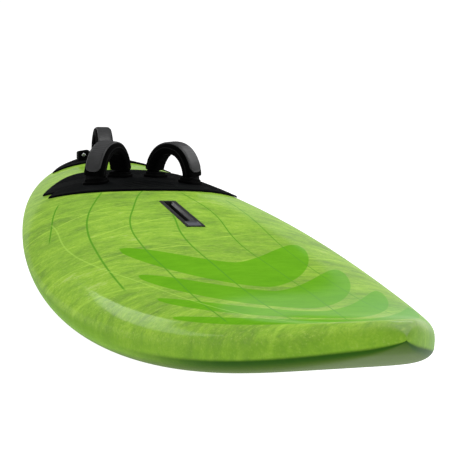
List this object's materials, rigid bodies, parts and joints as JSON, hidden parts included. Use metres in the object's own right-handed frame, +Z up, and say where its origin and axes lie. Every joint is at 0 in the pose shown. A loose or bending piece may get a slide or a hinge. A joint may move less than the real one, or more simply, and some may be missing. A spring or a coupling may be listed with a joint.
{
  "type": "windsurf board",
  "caption": "Round-nosed wave and freestyle windsurf board with green printed deck, black foam pads, padded foot straps, recessed mast track and a raked fin.",
  "frame": {"origin": "middle of the mast track's top face, on the board's centreline", "axes": "+X toward the nose, +Y to port, +Z up out of the deck"},
  "size_m": [2.3, 0.6002, 0.4326],
  "materials": {
    "deck_laminate": "gloss",
    "hull_laminate": "gloss",
    "core_foam": "matte",
    "dense_foam": "matte",
    "pad_eva": "matte",
    "box_plastic": "satin",
    "strap_padding": "matte",
    "strap_webbing": "matte",
    "strap_cover": "satin",
    "anchor_plastic": "satin",
    "insert_plastic": "satin",
    "fin_composite": "gloss",
    "brass": "satin",
    "vent_plastic": "satin",
    "o_ring": "matte",
    "stainless": "satin"
  },
  "bodies": {
    "board": {"deck_shell": "deck_laminate", "fin_box": "box_plastic", "fin_box_block": "dense_foam", "foam_core": "core_foam", "front_pad": "pad_eva", "front_port_anchor_inner": "anchor_plastic", "front_port_anchor_outer": "anchor_plastic", "front_port_plug_inner": "insert_plastic", "front_port_plug_outer": "insert_plastic", "front_port_screw_inner": "stainless", "front_port_screw_outer": "stainless", "front_port_strap_cover": "strap_cover", "front_port_strap_sleeve": "strap_padding", "front_port_strap_webbing": "strap_webbing", "front_starboard_anchor_inner": "anchor_plastic", "front_starboard_anchor_outer": "anchor_plastic", "front_starboard_plug_inner": "insert_plastic", "front_starboard_plug_outer": "insert_plastic", "front_starboard_screw_inner": "stainless", "front_starboard_screw_outer": "stainless", "front_starboard_strap_cover": "strap_cover", "front_starboard_strap_sleeve": "strap_padding", "front_starboard_strap_webbing": "strap_webbing", "hull_shell": "hull_laminate", "mast_track_block": "dense_foam", "mast_track_box": "box_plastic", "rear_anchor_aft": "anchor_plastic", "rear_anchor_fore": "anchor_plastic", "rear_pad": "pad_eva", "rear_plug_aft": "insert_plastic", "rear_plug_fore": "insert_plastic", "rear_screw_aft": "stainless", "rear_screw_fore": "stainless", "rear_side_block": "anchor_plastic", "rear_side_block_screw": "stainless", "rear_strap_cover": "strap_cover", "rear_strap_sleeve": "strap_padding", "rear_strap_webbing": "strap_webbing", "vent_housing": "vent_plastic"},
    "fin_assembly": {"fin": "fin_composite", "fin_screw": "stainless", "fin_nut_plate": "brass", "fin_roll_pin": "stainless"},
    "vent_seal": {"vent_oring": "o_ring"},
    "vent_closure": {"vent_screw": "brass"}
  },
  "joints": [
    {"name": "fin_slide", "type": "slide", "parent": "board", "child": "fin_assembly", "axis": [0.9999, 0, -0.0146], "range_m": [-0.03, 0.03]},
    {"name": "vent_rise", "type": "slide", "parent": "board", "child": "vent_seal", "axis": [0, 0, 1], "range_m": [0, 0.0038]},
    {"name": "vent_turn", "type": "hinge", "parent": "vent_seal", "child": "vent_closure", "pos_m": [-0.755, 0, -0.01928], "axis": [0, 0, 1], "range_deg": [0, 1080]}
  ],
  "couplings": [
    {"joint": "vent_rise", "follows": "vent_turn", "m_per_rad": 0.00019894}
  ]
}
